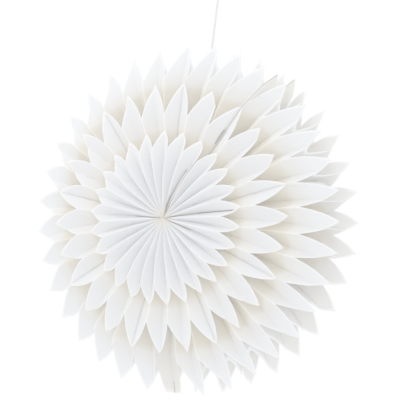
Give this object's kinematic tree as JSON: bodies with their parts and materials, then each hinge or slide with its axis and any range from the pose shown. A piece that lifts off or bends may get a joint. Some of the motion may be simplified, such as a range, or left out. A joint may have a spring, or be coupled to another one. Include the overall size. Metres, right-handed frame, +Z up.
{
  "type": "paper honeycomb ball",
  "caption": "White paper honeycomb fan ball: tiers of pointed folded pockets opened all round an axis and joined at a seam, hanging from a string with a loop.",
  "frame": {"origin": "centre of the ball, on the fan axis halfway between its front and rear poles", "axes": "+Z up along the hanging string, Y along the fan axis with the front towards -Y"},
  "size_m": [0.2997, 0.108, 0.3807],
  "materials": {
    "paper": "matte white tissue card",
    "cover_board": "matte cream board",
    "adhesive_pad": "double-sided adhesive pad",
    "string": "light grey twisted cotton string",
    "thread": "white binding thread",
    "staple_wire": "dark steel wire"
  },
  "bodies": {
    "hanger": {"hanging_string": "string", "foot_knot": "string", "top_knot": "string", "top_loop": "string"},
    "ball": {"hanging_leaf": "paper", "binding_thread": "thread", "thread_knots": "thread", "eye_loop": "string"},
    "right_cover": {"right_cover": "cover_board", "right_cover_staples": "staple_wire", "adhesive_pads": "adhesive_pad", "outer_pockets_0": "paper", "front_petals_0": "paper", "rear_petals_0": "paper"},
    "leaf_7": {"divider_leaf_7": "paper", "outer_pockets_8": "paper", "front_petals_8": "paper", "rear_petals_8": "paper"},
    "leaf_6": {"divider_leaf_6": "paper", "outer_pockets_7": "paper", "front_petals_7": "paper", "rear_petals_7": "paper"},
    "leaf_5": {"divider_leaf_5": "paper", "outer_pockets_6": "paper", "front_petals_6": "paper", "rear_petals_6": "paper"},
    "leaf_4": {"divider_leaf_4": "paper", "outer_pockets_5": "paper", "front_petals_5": "paper", "rear_petals_5": "paper"},
    "leaf_3": {"divider_leaf_3": "paper", "outer_pockets_4": "paper", "front_petals_4": "paper", "rear_petals_4": "paper", "lower_staple": "staple_wire"},
    "leaf_2": {"divider_leaf_2": "paper", "outer_pockets_3": "paper", "front_petals_3": "paper", "rear_petals_3": "paper"},
    "leaf_1": {"divider_leaf_1": "paper", "outer_pockets_2": "paper", "front_petals_2": "paper", "rear_petals_2": "paper"},
    "left_cover": {"left_cover": "cover_board", "left_cover_staples": "staple_wire", "outer_pockets_1": "paper", "front_petals_1": "paper", "rear_petals_1": "paper"}
  },
  "joints": [
    {"name": "ball_spin", "type": "hinge", "parent": "hanger", "child": "ball", "pos_m": [0, 0, 0.1335], "axis": [0, 0, 1], "continuous": true},
    {"name": "fan_fold", "type": "hinge", "parent": "ball", "child": "leaf_7", "pos_m": [0, 0, 0], "axis": [0, 1, 0], "range_deg": [0, 39.4], "deforming": ["outer_pockets_8", "front_petals_8", "rear_petals_8"]},
    {"name": "fold_leaf_6", "type": "hinge", "parent": "leaf_7", "child": "leaf_6", "pos_m": [0, 0, 0], "axis": [0, 1, 0], "range_deg": [0, 39.41], "deforming": ["outer_pockets_7", "front_petals_7", "rear_petals_7"]},
    {"name": "fold_leaf_5", "type": "hinge", "parent": "leaf_6", "child": "leaf_5", "pos_m": [0, 0, 0], "axis": [0, 1, 0], "range_deg": [0, 39.41], "deforming": ["outer_pockets_6", "front_petals_6", "rear_petals_6"]},
    {"name": "fold_leaf_4", "type": "hinge", "parent": "leaf_5", "child": "leaf_4", "pos_m": [0, 0, 0], "axis": [0, 1, 0], "range_deg": [0, 39.41], "deforming": ["outer_pockets_5", "front_petals_5", "rear_petals_5"]},
    {"name": "fold_leaf_3", "type": "hinge", "parent": "leaf_4", "child": "leaf_3", "pos_m": [0, 0, 0], "axis": [0, 1, 0], "range_deg": [0, 39.41], "deforming": ["outer_pockets_4", "front_petals_4", "rear_petals_4", "lower_staple"]},
    {"name": "fold_leaf_2", "type": "hinge", "parent": "leaf_3", "child": "leaf_2", "pos_m": [0, 0, 0], "axis": [0, 1, 0], "range_deg": [0, 35.81], "deforming": ["outer_pockets_3", "front_petals_3", "rear_petals_3"]},
    {"name": "fold_leaf_1", "type": "hinge", "parent": "leaf_2", "child": "leaf_1", "pos_m": [0, 0, 0], "axis": [0, 1, 0], "range_deg": [0, 35.81], "deforming": ["outer_pockets_2", "front_petals_2", "rear_petals_2"]},
    {"name": "fold_left_cover", "type": "hinge", "parent": "leaf_1", "child": "left_cover", "pos_m": [0, 0, 0], "axis": [0, 1, 0], "range_deg": [0, 33.51], "deforming": ["outer_pockets_1", "front_petals_1", "rear_petals_1"]},
    {"name": "fold_right_cover", "type": "hinge", "parent": "ball", "child": "right_cover", "pos_m": [0, 0, 0], "axis": [0, 1, 0], "range_deg": [-24.51, 0], "deforming": ["outer_pockets_0", "front_petals_0", "rear_petals_0"]}
  ],
  "couplings": [
    {"joint": "fold_leaf_6", "follows": "fan_fold", "ratio": 1},
    {"joint": "fold_leaf_5", "follows": "fan_fold", "ratio": 1},
    {"joint": "fold_leaf_4", "follows": "fan_fold", "ratio": 1},
    {"joint": "fold_leaf_3", "follows": "fan_fold", "ratio": 1},
    {"joint": "fold_leaf_2", "follows": "fan_fold", "ratio": 0.90863},
    {"joint": "fold_leaf_1", "follows": "fan_fold", "ratio": 0.90863},
    {"joint": "fold_left_cover", "follows": "fan_fold", "ratio": 0.85025},
    {"joint": "fold_right_cover", "follows": "fan_fold", "ratio": -0.62183}
  ]
}
